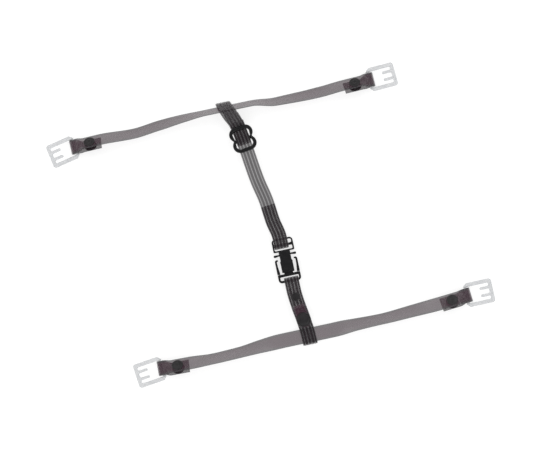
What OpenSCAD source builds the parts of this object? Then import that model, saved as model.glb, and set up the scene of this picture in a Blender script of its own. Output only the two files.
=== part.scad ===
// H-shaped retaining harness: two cross straps with a comb hook plate at each end, joined by an
// adjustable centre strap with a tri-glide slider and a side-release buckle.
// Millimetres. +X runs along the cross straps, +Y from the lower to the upper cross strap, +Z is up.
// The harness lies on z = 0 and the origin is the middle of the H.

/* [Straps] */
// Width of every strap
strap_w = 15; // [13:0.5:16]
// Thickness of every strap
strap_t = 1.4; // [1:0.1:1.8]
// Twist of the upper cross strap inside the centre strap's loop, in degrees
upper_twist = 58; // [40:1:62]
// Clearance between a cross strap and the loop round it
loop_gap = 0.35; // [0.2:0.05:0.6]

/* [Hook plates] */
// Length from the strap bar's centre to the far end
plate_reach = 28; // [25:0.5:34]
// Width across the two rails
plate_w = 25; // [24:0.5:30]
// Thickness of the plate
plate_t = 2.5; // [2:0.1:3]
// Diameter of the strap bar
plate_bar_d = 3; // [2.6:0.1:3.4]
// Width of the cross piece at the far end
plate_end_w = 3.7; // [3:0.1:5]
// Length of each prong
prong_l = 9.8; // [7:0.1:12]
// Width of each prong
prong_w = 2.9; // [2.4:0.1:3.4]
// Clear width between the two prongs
prong_slot = 4.5; // [4:0.1:5.5]

/* [Snap fasteners] */
// Diameter of the caps at the strap ends
end_cap_d = 13; // [12:0.5:14]
// Diameter of the cap on the rounded tab
tab_cap_d = 14.6; // [13:0.1:15]
// Height of a cap over the strap
cap_h = 1.2; // [1:0.1:1.6]
// Diameter of the flat ring on the back of a stud
back_d = 11.5; // [10:0.5:12.5]
// Diameter of sockets and stud bases
socket_d = 10.4; // [9:0.2:11]
// Diameter of the post through the strap
post_d = 3.6; // [3:0.1:4]
// Distance from a strap end's fold to the snap's centre
snap_reach = 18; // [17:0.5:20]
// Distance from a strap end's fold to the square end of the tail
tail_reach = 29.5; // [28:0.5:34]

/* [Slider] */
// Width across the slider's lobes
slider_w = 25; // [24:0.5:28]
// Length of the slider along the strap
slider_l = 27.3; // [26:0.1:32]
// Width of the slider's ring section
slider_ring = 3.8; // [2.6:0.1:4.2]
// Height of the slider's bars
slider_bar_h = 2; // [1.6:0.1:2.4]
// Height of the slider's centre along the harness
slider_y = 89.2; // [86:0.2:90]

/* [Buckle] */
// Width of the buckle across its latch arms
buckle_w = 23.5; // [23:0.5:26]
// Width of the socket half's adjuster frame
frame_w = 22; // [21.5:0.5:23]
// Thickness of the socket's sleeve
sleeve_h = 6.5; // [6:0.1:7.5]
// Width of the socket's sleeve
sleeve_w = 12.8; // [12:0.2:13.2]
// Height of the buckle's strap bars
bar_h = 3.2; // [2.8:0.1:3.6]
// Running clearance inside the buckle
buckle_gap = 0.3; // [0.2:0.05:0.4]

/* [Hidden] */
$fn = 48;
strap_colour = [0.47, 0.43, 0.46];
plate_colour = [0.83, 0.84, 0.86];
black = [0.13, 0.13, 0.14];

// Folds and clearances
half_t = strap_t / 2;
wrap_gap = 0.15;                                  // strap to bar at the hook plates
fold_r = plate_bar_d / 2 + wrap_gap + half_t;     // strap centreline round a plate bar
layer_gap = 2 * fold_r - strap_t;                 // clear space between the two layers at a snap
loop_r = strap_t + loop_gap;                      // loop centreline round a cross strap's edge
end_lift = 2 * fold_r + cap_h;                    // height of the upper layer over a bare strap
hinge_reach = 3;                                  // strap end's fold to the bend of the tab
bend_gap = 0.15;                                  // half the cut at a bend
fold_steps = 8;

// Strap ends: fold x, fold y, heading of the strap, heading of the hook plate, twist, inboard direction
ends = [
    [-181, 118, 1.5, 11, 34, 1],
    [135.6, 122.8, 2, 4, 34, -1],
    [-138.4, -123.8, -1.5, 7, 34, 1],
    [185.4, -116.2, 4.5, 0, 26, -1]
];
plate_play = 1.8;                                 // window wider than the strap by this much
end_slack = 1.25;                                 // the bar lies this far inside its loose fold

// A strap's stretch next to a hook plate: x, y, twist and lift, straight and even under the snap
flat_from = snap_reach - end_cap_d / 2;
flat_to = snap_reach + end_cap_d / 2 + 0.5;
function end_knots(e) = [for (d = [0, hinge_reach, flat_from, flat_to, tail_reach + 0.5])
    [e[0] + e[5] * d * cos(e[2]), e[1] + e[5] * d * sin(e[2]),
     d > hinge_reach ? e[4] : 0, end_lift]];
function backwards(list) = [for (i = [len(list) - 1:-1:0]) list[i]];

function loop_lift(twist) = loop_r + half_t * (1 - cos(twist));
upper_cross = [-15.5, 123.6];
lower_cross = [15.5, -122.4];
even_reach = 24;                                  // length of even twist either side of a crossing
upper_route = concat(end_knots(ends[0]), [
    [-118, 118.4, 38, 0],
    [-90, 121.2, 38, 0],
    [-64, 123, 48, 0.8],
    [upper_cross[0] - even_reach, upper_cross[1], upper_twist, loop_lift(upper_twist)],
    [upper_cross[0] + even_reach, upper_cross[1], upper_twist, loop_lift(upper_twist)],
    [34, 120.6, 46, 0],
    [62, 120.5, 38, 0],
    [82, 121, 34, 0.3]
], backwards(end_knots(ends[1])));
lower_route = concat(end_knots(ends[2]), [
    [-84, -125.6, 46, 0.3],
    [-56, -124.9, 44, 0],
    [-34, -123.4, 28, 0],
    [lower_cross[0] - even_reach, lower_cross[1], 0, loop_lift(0)],
    [lower_cross[0] + even_reach, lower_cross[1], 0, loop_lift(0)],
    [66, -121.8, 34, 0],
    [92, -121.8, 44, 0],
    [124, -120.4, 36, 0.3]
], backwards(end_knots(ends[3])));

// Smooth value of column c at place s along a table whose first column rises
function span(r, s, i = 0) = i >= len(r) - 2 || s < r[i + 1][0] ? i : span(r, s, i + 1);
function chord(r, i, c) = (r[i + 1][c] - r[i][c]) / (r[i + 1][0] - r[i][0]);
function mean_slope(a, b) = a * b <= 0 ? 0 : 2 * a * b / (a + b);
function knot_slope(r, i, c) =
    i == 0 ? chord(r, 0, c)
    : i == len(r) - 1 ? chord(r, i - 1, c)
    : mean_slope(chord(r, i - 1, c), chord(r, i, c));
function along(r, s, c) =
    let (i = span(r, s), g = r[i + 1][0] - r[i][0], f = (s - r[i][0]) / g, k = 1 - f)
    r[i][c] * (1 + 2 * f) * k * k + r[i + 1][c] * (3 - 2 * f) * f * f
    + g * f * k * (knot_slope(r, i, c) * k - knot_slope(r, i + 1, c) * f);
function slope(r, s, c) = (along(r, s + 0.01, c) - along(r, s - 0.01, c)) / 0.02;
function unit(v) = v / norm(v);

// A station of a strap is its centre, the direction across it and the way its face looks
function cross_station(r, x) =
    let (h = atan(slope(r, x, 1)), twist = along(r, x, 2), side = [-sin(h), cos(h), 0])
    [[x, along(r, x, 1), strap_w / 2 * sin(twist) + half_t * cos(twist) + along(r, x, 3)],
     side * cos(twist) - [0, 0, sin(twist)],
     [0, 0, cos(twist)] + side * sin(twist)];
function under(s, drop) = [s[0] - drop * s[2], s[1], -s[2]];
// Half turn round a centre: a goes from the lower layer at -90 to the upper one at 90
function turn(centre, r, out, up, across, a) =
    let (n = out * cos(a) + up * sin(a)) [centre + r * n, across, n];

function end_route(k) = k < 2 ? upper_route : lower_route;
function end_dir(k) = ends[k][5] * [cos(ends[k][2]), sin(ends[k][2]), 0];
function end_x(k, d) = ends[k][0] + ends[k][5] * d * cos(ends[k][2]);
function end_station(k, d) = cross_station(end_route(k), end_x(k, d));
function fold_centre(k) = let (s = end_station(k, 0)) s[0] - fold_r * s[2];
function end_bar(k) = fold_centre(k) + end_slack * end_dir(k);
function end_fold(k) = [for (i = [0:fold_steps]) let (s = end_station(k, 0))
    turn(fold_centre(k), fold_r, -end_dir(k), s[2], s[1], -90 + 180 * i / fold_steps)];
twist_steps = 5;
function tail_stations(k) = let (from = hinge_reach + bend_gap) [for (d = concat(
    [for (i = [0:twist_steps - 1]) from + (flat_from - from) * i / twist_steps],
    [flat_from, flat_to, tail_reach]))
    under(end_station(k, d), 2 * fold_r)];
// Every knot of the route has a station, with more of them where the strap twists
function route_stations(r) = [for (i = [0:len(r) - 2])
    let (long = r[i + 1][0] - r[i][0], even = chord(r, i, 2) == 0, n = even ? 2 : ceil(long / 5))
    for (k = [(i == 0 ? 1 : 0):n - 1]) cross_station(r, r[i][0] + long * k / n)];
function cross_strap_stations(left, right) = concat(
    [under(end_station(left, hinge_reach - bend_gap), 2 * fold_r)],
    end_fold(left),
    route_stations(end_route(left)),
    backwards(end_fold(right)),
    [under(end_station(right, hinge_reach - bend_gap), 2 * fold_r)]
);

// Buckle: its centre, its bars and the straps' heights over and under it
buckle_at = [10, -42];
buckle_z = sleeve_h / 2;
bar_gap = 0.2;
bar_fold_r = bar_h / 2 + bar_gap + half_t;
bar_w = 2.5;
bar_fold_shift = bar_w / 2 - 0.5;                 // a fold's centre lies off its bar's, towards the slot
frame_top = 22.75;
frame_end = 9;
mid_bar_y = 15.7;
stub_y = 5.3;
plug_bar_y = -21.7;
plug_band_y = -15.5;
plug_bottom = plug_bar_y - bar_w / 2;
sleeve_mouth = -12.8;
sleeve_wall = 1.5;
strap_shift = -1.6;                               // the straps sit a little to the left in the frames
arm_root_y = -13.9;
arm_tip_y = 1.6;
arm_t = 2.3;
arm_h = 4.6;

// Centre strap, upper length: place along the strap (y), x and z
centre_x = [
    [-30, buckle_at[0] + strap_shift], [-18, buckle_at[0] + strap_shift], [0, 5.1], [22, 2.8],
    [44, -1.7], [slider_y + 18, -10.6], [118, -15.2], [134, -20.8]
];
slider_lean = 8.2;
slider_dir = [-sin(slider_lean), cos(slider_lean), 0];
end_layer_z = strap_t + loop_gap + half_t;        // folded strap end under the slider
slider_fold_r = slider_bar_h / 2 + wrap_gap + half_t;
slider_bar_z = end_layer_z + slider_fold_r;
front_z = slider_bar_z + slider_fold_r + strap_t + 0.25;
front_height = [
    [-30, buckle_z + bar_fold_r], [-14, buckle_z + bar_fold_r], [20, 4.6], [34, 5],
    [58, front_z], [slider_y + 16.4, front_z]
];
tail_end_y = 17;
slider_travel_y = slider_y - 5;                   // lower end of the rear layer
rear_shift = -1.1;                                // the rear layer peeps out on the left

function across_at(y) = unit([-1, slope(centre_x, y, 1), 0]);
function lengthwise(x_of, y, z, shift, side, up) = [[along(x_of, y, 1) + shift, y, z], side, up];

// Cross strap's two edges inside the upper loop, as y and z
upper_mid = cross_station(upper_route, upper_cross[0]);
low_edge = upper_mid[0] + upper_mid[1] * strap_w / 2;
high_edge = upper_mid[0] - upper_mid[1] * strap_w / 2;
rise_from = [slider_y + 16.4, front_z];
rise_run = [high_edge[1], high_edge[2]] - rise_from;
rise_angle = atan2(rise_run[1], rise_run[0]) + asin(loop_r / norm(rise_run));
slack_r = loop_r + 0.85;                          // the loop hangs loose past the low edge
slack_angle = 90 - upper_twist + 9;
slack_z = half_t + slack_r;
slack_edge = [0, high_edge[1] + (loop_r - slack_r - (slack_z - high_edge[2]) * sin(slack_angle))
    / cos(slack_angle), slack_z];
function loop_point(e, a, r = loop_r) = let (y = e[1] + r * cos(a), z = e[2] + r * sin(a))
    [[along(centre_x, y, 1) + rear_shift * max(0, min(1, (90 - a) / 180)), y, z],
     [-1, 0, 0], [0, cos(a), sin(a)]];

module band(stations) {
    corners = [[1, 1], [-1, 1], [-1, -1], [1, -1]];
    n = len(stations);
    points = [for (s = stations) for (c = corners)
        s[0] + s[1] * c[0] * strap_w / 2 + s[2] * c[1] * half_t];
    sides = [for (i = [0:n - 2]) for (k = [0:3]) let (a = 4 * i + k, b = 4 * i + (k + 1) % 4)
        each [[a, a + 4, b + 4], [a, b + 4, b]]];
    caps = [[0, 1, 2], [0, 2, 3], [4 * n - 1, 4 * n - 2, 4 * n - 3], [4 * n - 1, 4 * n - 3, 4 * n - 4]];
    polyhedron(points, concat(caps, sides), convexity = 10);
}

module on_station(s) {
    along_dir = cross(s[1], s[2]);
    multmatrix([
        [along_dir[0], s[1][0], s[2][0], s[0][0]],
        [along_dir[1], s[1][1], s[2][1], s[0][1]],
        [along_dir[2], s[1][2], s[2][2], s[0][2]],
        [0, 0, 0, 1]
    ]) children();
}

// Snap parts stand on a station: z = 0 is the strap's middle and +z its outer side
post_gap = 0.05;
seat_gap = 0.02;                                  // snap parts to the strap's face
outer_z = half_t + seat_gap;
socket_wall = 0.7;
socket_rim = 1.4;
stud_base_h = 0.6;
socket_play = 0.3;
ball_share = 0.44;                                // ball of a stud to its base, across
back_share = 0.6;                                 // back ring to a cap, in height
function socket_h(gap) = gap - stud_base_h - socket_play - 2 * seat_gap;
module post_hole() {
    cylinder(d = post_d + 2 * post_gap, h = strap_t * 3, center = true);
}
module snap_cap(d, h = cap_h) {
    rotate_extrude() polygon([
        [0, outer_z], [d / 2, outer_z], [d / 2, outer_z + h * 0.45], [d / 2 - 1, outer_z + h * 0.85],
        [d / 4, outer_z + h], [0, outer_z + h]
    ]);
    translate([0, 0, -outer_z - socket_wall]) cylinder(d = post_d, h = 2 * outer_z + socket_wall + h / 2);
}
module snap_socket(d, gap) {
    difference() {
        translate([0, 0, -outer_z - socket_h(gap)]) cylinder(d = d, h = socket_h(gap));
        cylinder(d = post_d + 2 * post_gap, h = 4 * gap, center = true);
        translate([0, 0, -outer_z - 2 * gap - socket_wall]) cylinder(d = d - 2 * socket_rim, h = 2 * gap);
    }
}
module snap_stud(d, gap) {
    ball_h = socket_h(gap) + socket_play - socket_wall - 0.3;
    difference() {
        union() {
            translate([0, 0, -outer_z - stud_base_h]) cylinder(d = d, h = stud_base_h);
            translate([0, 0, -outer_z - stud_base_h - ball_h]) cylinder(d = d * ball_share, h = ball_h + 0.1);
        }
        cylinder(d = post_d + 2 * post_gap, h = 4 * gap, center = true);
    }
}
module snap_back(d) {
    difference() {
        translate([0, 0, outer_z]) cylinder(d = d, h = cap_h * back_share);
        translate([0, 0, outer_z + cap_h * back_share / 2]) cylinder(d = post_d - 1, h = cap_h);
    }
    translate([0, 0, -outer_z - stud_base_h])
        cylinder(d = post_d, h = 2 * outer_z + stud_base_h + 0.1);
}

// Straps
module cross_strap(left, right) {
    color(strap_colour) difference() {
        band(cross_strap_stations(left, right));
        for (k = [left, right]) on_station(end_station(k, snap_reach)) post_hole();
    }
}
module end_tab(k) {
    color(strap_colour) difference() {
        band(ends[k][5] > 0 ? backwards(tail_stations(k)) : tail_stations(k));
        on_station(tail_snap_station(k)) post_hole();
    }
}
function tail_snap_station(k) = under(end_station(k, snap_reach), 2 * fold_r);

module centre_strap() {
    adjuster_y = mid_bar_y - bar_fold_shift + buckle_at[1];
    bar = [along(centre_x, adjuster_y, 1), adjuster_y, buckle_z];
    left = [-1, 0, 0];
    tail = [for (i = [0:10]) let (y = tail_end_y + (bar[1] - tail_end_y) * i / 10)
        lengthwise(centre_x, y, buckle_z - bar_fold_r, 0, across_at(y), [0, 0, -1])];
    fold = [for (i = [1:fold_steps - 1])
        turn(bar, bar_fold_r, [0, -1, 0], [0, 0, 1], left, -90 + 180 * i / fold_steps)];
    front = [for (i = [0:24]) let (y = bar[1] + (rise_from[0] - bar[1]) * i / 24)
        lengthwise(centre_x, y, along(front_height, y, 1), 0, across_at(y), [0, 0, 1])];
    over = [for (i = [0:5]) loop_point(high_edge,
        90 + rise_angle - (60 + rise_angle - 90 + upper_twist) * i / 5)];
    round_low = [for (i = [0:fold_steps])
        loop_point(slack_edge, slack_angle - (slack_angle + 90) * i / fold_steps, slack_r)];
    rear = [for (i = [1:8]) let (y = slack_edge[1] + (slider_travel_y - slack_edge[1]) * i / 8)
        lengthwise(centre_x, y, half_t, rear_shift * (1 - i / 8), across_at(y), [0, 0, -1])];
    color(strap_colour) band(concat(tail, fold, front, over, round_low, rear));
}

module slider_strap_end() {
    // In the slider's own frame: y along the strap, z = 0 at the middle bar
    start = 20;
    finish = 4.2;
    fold_y = 0.4 - slider_bar_w / 2;
    left = [-1, 0, 0];
    color(strap_colour) in_slider() difference() {
        band(concat(
            [for (i = [0:4]) [[0, start + (fold_y - start) * i / 4, -slider_fold_r], left, [0, 0, -1]]],
            [for (i = [1:fold_steps - 1]) turn([0, fold_y, 0], slider_fold_r, [0, -1, 0], [0, 0, 1], left,
                -90 + 180 * i / fold_steps)],
            [[[0, fold_y, slider_fold_r], left, [0, 0, 1]], [[0, finish, slider_fold_r], left, [0, 0, 1]]]
        ));
        cylinder(d = peg_d + 0.3, h = 3 * slider_fold_r);
    }
}

// Slider
peg_d = 3;
slider_bar_w = 3.8;
module in_slider() {
    translate([along(centre_x, slider_y, 1), slider_y, slider_bar_z]) rotate([0, 0, slider_lean])
        children();
}
module stadium(w, l) {
    square([w - l, l], center = true);
    for (x = [-1, 1]) translate([x * (w - l) / 2, 0]) circle(d = l);
}
module slider() {
    lobe = slider_l / 2 + 1.6;
    lobe_y = (slider_l - lobe) / 2;
    outer_bar_h = 2.2;
    ring_z = front_z + half_t + 0.25 - slider_bar_z;      // underside of the outer bars
    rail_in = strap_w + 1.6;
    rail_drop = 1.5;                                      // rails below the outer bars
    rail_foot = 4;                                        // half the length that reaches the middle bar
    color(black) in_slider() {
        difference() {
            translate([0, 0, -slider_bar_h / 2]) linear_extrude(ring_z + outer_bar_h + slider_bar_h / 2)
                for (y = [-1, 1]) translate([0, y * lobe_y]) stadium(slider_w, lobe);
            // window inside the ring
            translate([-rail_in / 2, -slider_l / 2 + slider_ring, -20])
                cube([rail_in, slider_l - 2 * slider_ring, 40]);
            // room for the strap under the outer bars
            translate([-rail_in / 2, -slider_l, ring_z - 20]) cube([rail_in, 2 * slider_l, 20]);
            // the rails are low away from the middle
            for (y = [-1, 1]) translate([-slider_w, y > 0 ? rail_foot : -rail_foot - slider_l, -20])
                cube([2 * slider_w, slider_l, 20 + ring_z - rail_drop]);
        }
        translate([-rail_in / 2 - 0.5, -slider_bar_w / 2, -slider_bar_h / 2])
            cube([rail_in + 1, slider_bar_w, slider_bar_h]);
        translate([0, 0, -slider_bar_h / 2]) cylinder(d = peg_d, h = slider_bar_h + wrap_gap + strap_t);
    }
}

// Buckle, in its own frame: y = 0 at its middle, z = 0 half way up
module in_buckle() {
    translate([buckle_at[0], buckle_at[1], buckle_z]) children();
}
module plate_box(x0, x1, y0, y1, h) {
    translate([x0, y0, -h / 2]) cube([x1 - x0, y1 - y0, h]);
}
module buckle_socket() {
    side = 1.7;                                       // rails of the adjuster frame
    corner = 3.5;
    half_bar = 1.3;
    stub_w = 2.2;
    cavity_w = sleeve_w - 2 * sleeve_wall;
    cavity_h = sleeve_h - 2 * sleeve_wall;
    color(black) in_buckle() difference() {
        union() {
            intersection() {
                plate_box(-frame_w / 2, frame_w / 2, frame_end, frame_top, bar_h);
                linear_extrude(bar_h, center = true) {
                    translate([-frame_w / 2 + corner, 0]) square([frame_w - 2 * corner, frame_top]);
                    translate([-frame_w / 2, 0]) square([frame_w, frame_top - corner]);
                    for (x = [-1, 1]) translate([x * (frame_w / 2 - corner), frame_top - corner])
                        circle(r = corner);
                }
            }
            plate_box(-sleeve_w / 2, sleeve_w / 2, sleeve_mouth, frame_end + 1.2, sleeve_h);
            plate_box(-buckle_w / 2, buckle_w / 2, stub_y - stub_w / 2, stub_y + stub_w / 2, bar_h);
        }
        // slots either side of the adjuster's middle bar
        plate_box(-frame_w / 2 + side, frame_w / 2 - side, mid_bar_y + half_bar, frame_top - 1.8, 20);
        plate_box(-frame_w / 2 + side, frame_w / 2 - side, frame_end + 1.6, mid_bar_y - half_bar, 20);
        // cavity for the plug's tongue
        plate_box(-cavity_w / 2, cavity_w / 2, -20, 7, cavity_h);
    }
}
module buckle_plug() {
    tongue_w = sleeve_w - 2 * sleeve_wall - 2 * buckle_gap;
    tongue_h = sleeve_h - 2 * sleeve_wall - 2 * buckle_gap;
    window_w = buckle_w - 5;
    corner = 3.5;
    color(black) in_buckle() difference() {
        union() {
            plate_box(-tongue_w / 2, tongue_w / 2, plug_band_y, 5, tongue_h);
            plate_box(-buckle_w / 2, buckle_w / 2, plug_bottom + corner, plug_band_y + 1.4, bar_h);
            plate_box(-buckle_w / 2 + corner, buckle_w / 2 - corner, plug_bottom, plug_bottom + 5, bar_h);
            for (x = [-1, 1]) translate([x * (buckle_w / 2 - corner), plug_bottom + corner, -bar_h / 2])
                cylinder(r = corner, h = bar_h);
        }
        plate_box(-window_w / 2, window_w / 2, plug_bar_y + bar_w / 2, plug_band_y - 1.4, 20);
        // lightening slot in the tongue
        plate_box(-1.5, 1.5, -9, 2, 20);
    }
}
// One latch arm, pivoting at its root and curling inwards at its tip
module buckle_arm(side) {
    root = [side * (buckle_w / 2 - arm_t / 2), arm_root_y];
    tip_r = 2.2;
    tip_t = 1.6;
    color(black) in_buckle() translate([0, 0, -arm_h / 2]) linear_extrude(arm_h) {
        translate([root[0] - arm_t / 2, root[1]])
            square([arm_t, arm_tip_y - tip_r - arm_root_y]);
        translate([side * (buckle_w / 2 - tip_r), arm_tip_y - tip_r]) intersection() {
            difference() {
                circle(r = tip_r);
                circle(r = tip_r - tip_t);
            }
            translate([-tip_r, 0]) square([2 * tip_r, tip_r]);
        }
    }
}

// Lower length: y, x for the strap and its heights in front and behind
plug_shift = 1.3;                                 // it sits a little to the right on its bar
lower_x = [
    [-136, 16.9], [-118, 16.2], [-104, 14.7], [-90, 12.6], [-74, 11.3], [-62, buckle_at[0] + plug_shift]
];
lower_lean = 8.4;
bar_y = plug_bar_y + bar_fold_shift + buckle_at[1];
loop_front_z = 2 * loop_r + half_t;
tab_z = loop_front_z + layer_gap + strap_t;
tab_hinge_y = -90;
tab_snap_y = -105.5;
tab_end_y = -114;
keeper_y = -81;
keeper_front_z = 7.4;                             // the two layers' heights at the keeper snap
keeper_rear_z = 1.8;
loop_end_y = -93;
lower_front = [
    [-136, tab_z], [tab_hinge_y - 1, tab_z], [tab_hinge_y + 2, tab_z], [keeper_y - 5.5, keeper_front_z],
    [keeper_y + 5.5, keeper_front_z], [-66, buckle_z + bar_fold_r], [-60, buckle_z + bar_fold_r]
];
lower_rear = [
    [-136, half_t], [-98, half_t], [keeper_y - 6, keeper_rear_z], [keeper_y + 6, keeper_rear_z],
    [-66, buckle_z - bar_fold_r], [-60, buckle_z - bar_fold_r]
];
function lower_across(y) = unit([-1, slope(lower_x, y, 1), 0]);
function lower_at(y, z, up) = lengthwise(lower_x, y, z, 0, lower_across(y), [0, 0, up]);
keeper_gap = keeper_front_z - keeper_rear_z - strap_t;
keeper_d = 8.6;
keeper_cap_h = 0.5;                               // this cap lies nearly flush

module lower_strap() {
    bar = [along(lower_x, bar_y, 1), bar_y, buckle_z];
    left = [-1, 0, 0];
    edge_y = lower_cross[1] - strap_w / 2;
    edge = [along(lower_x, edge_y, 1), edge_y, loop_r + half_t];
    color(strap_colour) difference() {
        band(concat(
            [for (i = [0:12]) let (y = tab_hinge_y + bend_gap + (bar_y - tab_hinge_y - bend_gap) * i / 12)
                lower_at(y, along(lower_front, y, 1), 1)],
            [for (i = [1:fold_steps - 1]) turn(bar, bar_fold_r, [0, 1, 0], [0, 0, 1], left,
                90 - 180 * i / fold_steps)],
            [for (i = [0:18]) let (y = bar_y + (edge_y - bar_y) * i / 18)
                lower_at(y, along(lower_rear, y, 1), -1)],
            [for (i = [1:fold_steps - 1]) turn(edge, loop_r, [0, -1, 0], [0, 0, 1], left,
                -90 + 180 * i / fold_steps)],
            [for (i = [0:10]) let (y = edge_y + (loop_end_y - edge_y) * i / 10)
                lower_at(y, loop_front_z, 1)]
        ));
        on_station(lower_stud_station) post_hole();
        on_station(keeper_front_station) post_hole();
        on_station(keeper_rear_station) post_hole();
    }
}
// Stations of the snap parts on the lower length; the outer side is away from the partner
function flat_station(y, z, up) = [[along(lower_x, y, 1), y, z], [-up, 0, 0], [0, 0, up]];
lower_stud_station = flat_station(tab_snap_y, loop_front_z, -1);
lower_cap_station = flat_station(tab_snap_y, tab_z, 1);
keeper_front_station = flat_station(keeper_y, keeper_front_z, 1);
keeper_rear_station = flat_station(keeper_y, keeper_rear_z, -1);

module lower_tab() {
    top = [along(lower_x, tab_hinge_y, 1), tab_hinge_y];
    color(strap_colour) difference() {
        translate([top[0], top[1], tab_z - half_t]) rotate([0, 0, lower_lean]) linear_extrude(strap_t) {
            length = top[1] - tab_end_y;
            translate([-strap_w / 2, -length + strap_w / 2])
                square([strap_w, length - strap_w / 2 - bend_gap]);
            translate([0, -length + strap_w / 2]) circle(d = strap_w);
        }
        on_station(lower_cap_station) post_hole();
    }
}

// Hook plate: +x points from the bar to the far end
module hook_plate(k) {
    rail = (plate_w - strap_w - plate_play) / 2;
    drop = asin((end_bar(k)[2] - plate_t / 2) / plate_reach);    // the far end rests on the floor
    chamfer = 3.5;
    heel = 2.2;
    corner = 2.5;
    window_x = plate_reach - plate_end_w;
    color(plate_colour)
    translate(end_bar(k)) rotate([0, 0, ends[k][3] + (ends[k][5] > 0 ? 180 : 0)]) rotate([0, drop, 0]) {
        difference() {
            linear_extrude(plate_t, center = true) difference() {
                union() {
                    translate([-heel + chamfer, -plate_w / 2])
                        square([plate_reach + heel - chamfer - corner, plate_w]);
                    translate([0, -plate_w / 2 + corner]) square([plate_reach, plate_w - 2 * corner]);
                    for (y = [-1, 1]) {
                        translate([plate_reach - corner, y * (plate_w / 2 - corner)]) circle(r = corner);
                        polygon([
                            [-heel, y * (plate_w / 2 - chamfer)], [-heel + chamfer, y * plate_w / 2],
                            [2, y * plate_w / 2], [2, y * (plate_w / 2 - rail)],
                            [-heel, y * (plate_w / 2 - rail)]
                        ]);
                    }
                }
                translate([-plate_reach, -plate_w / 2 + rail])
                    square([plate_reach + window_x, plate_w - 2 * rail]);
            }
        }
        for (y = [-1, 1])
            translate([window_x - prong_l, y * (prong_slot + prong_w) / 2 - prong_w / 2, -plate_t / 2])
                cube([prong_l + 0.5, prong_w, plate_t]);
        rotate([90, 0, 0]) cylinder(d = plate_bar_d, h = plate_w - 2 * rail + 1, center = true);
    }
}

module end_snap_cap(k) {
    color(black) on_station(tail_snap_station(k)) snap_cap(end_cap_d);
}
module end_snap_socket(k) {
    color(black) on_station(tail_snap_station(k)) snap_socket(socket_d, layer_gap);
}
module end_snap_stud(k) {
    color(black) on_station(end_station(k, snap_reach)) snap_stud(socket_d, layer_gap);
}
module end_snap_back(k) {
    color(black) on_station(end_station(k, snap_reach)) snap_back(back_d);
}
module lower_snap_cap() {
    color(black) on_station(lower_cap_station) snap_cap(tab_cap_d);
}
module lower_snap_socket() {
    color(black) on_station(lower_cap_station) snap_socket(socket_d, layer_gap);
}
module lower_snap_stud() {
    color(black) on_station(lower_stud_station) snap_stud(socket_d, layer_gap);
}
module lower_snap_back() {
    color(black) on_station(lower_stud_station) snap_back(back_d);
}
module keeper_snap_cap() {
    color(black) on_station(keeper_front_station) snap_cap(keeper_d, keeper_cap_h);
}
module keeper_snap_socket() {
    color(black) on_station(keeper_front_station) snap_socket(keeper_d, keeper_gap);
}
module keeper_snap_stud() {
    color(black) on_station(keeper_rear_station) snap_stud(keeper_d, keeper_gap);
}
module keeper_snap_back() {
    color(black) on_station(keeper_rear_station) snap_back(keeper_d);
}

centre_strap();
slider();
slider_strap_end();
buckle_socket();
buckle_plug();
buckle_arm(-1);  // buckle_arm_left
buckle_arm(1);  // buckle_arm_right
lower_strap();
lower_tab();
lower_snap_cap();
lower_snap_socket();
lower_snap_stud();
lower_snap_back();
keeper_snap_cap();
keeper_snap_socket();
keeper_snap_stud();
keeper_snap_back();
cross_strap(0, 1);  // upper_cross_strap
cross_strap(2, 3);  // lower_cross_strap
end_tab(0);  // upper_left_tab
end_tab(1);  // upper_right_tab
end_tab(2);  // lower_left_tab
end_tab(3);  // lower_right_tab
hook_plate(0);  // upper_left_hook_plate
hook_plate(1);  // upper_right_hook_plate
hook_plate(2);  // lower_left_hook_plate
hook_plate(3);  // lower_right_hook_plate
end_snap_cap(0);  // upper_left_snap_cap
end_snap_cap(1);  // upper_right_snap_cap
end_snap_cap(2);  // lower_left_snap_cap
end_snap_cap(3);  // lower_right_snap_cap
end_snap_socket(0);  // upper_left_snap_socket
end_snap_socket(1);  // upper_right_snap_socket
end_snap_socket(2);  // lower_left_snap_socket
end_snap_socket(3);  // lower_right_snap_socket
end_snap_stud(0);  // upper_left_snap_stud
end_snap_stud(1);  // upper_right_snap_stud
end_snap_stud(2);  // lower_left_snap_stud
end_snap_stud(3);  // lower_right_snap_stud
end_snap_back(0);  // upper_left_snap_back
end_snap_back(1);  // upper_right_snap_back
end_snap_back(2);  // lower_left_snap_back
end_snap_back(3);  // lower_right_snap_back
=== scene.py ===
import math

import bmesh
import bpy
import numpy as np
from mathutils import Matrix, Vector


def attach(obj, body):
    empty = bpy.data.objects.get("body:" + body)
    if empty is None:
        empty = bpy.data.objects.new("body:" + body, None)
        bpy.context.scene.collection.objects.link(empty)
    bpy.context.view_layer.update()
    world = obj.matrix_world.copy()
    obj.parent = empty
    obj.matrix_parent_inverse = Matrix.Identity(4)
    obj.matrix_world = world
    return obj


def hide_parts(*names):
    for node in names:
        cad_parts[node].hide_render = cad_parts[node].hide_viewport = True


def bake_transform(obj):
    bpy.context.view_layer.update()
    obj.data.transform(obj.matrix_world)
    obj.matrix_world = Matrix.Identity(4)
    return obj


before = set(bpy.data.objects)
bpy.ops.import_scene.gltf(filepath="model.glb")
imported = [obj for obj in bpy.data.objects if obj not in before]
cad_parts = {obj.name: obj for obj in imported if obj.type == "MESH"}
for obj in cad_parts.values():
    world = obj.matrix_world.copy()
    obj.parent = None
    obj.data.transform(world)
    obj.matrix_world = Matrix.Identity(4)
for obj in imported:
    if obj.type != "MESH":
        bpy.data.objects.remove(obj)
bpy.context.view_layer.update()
mm = 0.001
print("frame loaded:", len(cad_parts), "nodes")

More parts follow.
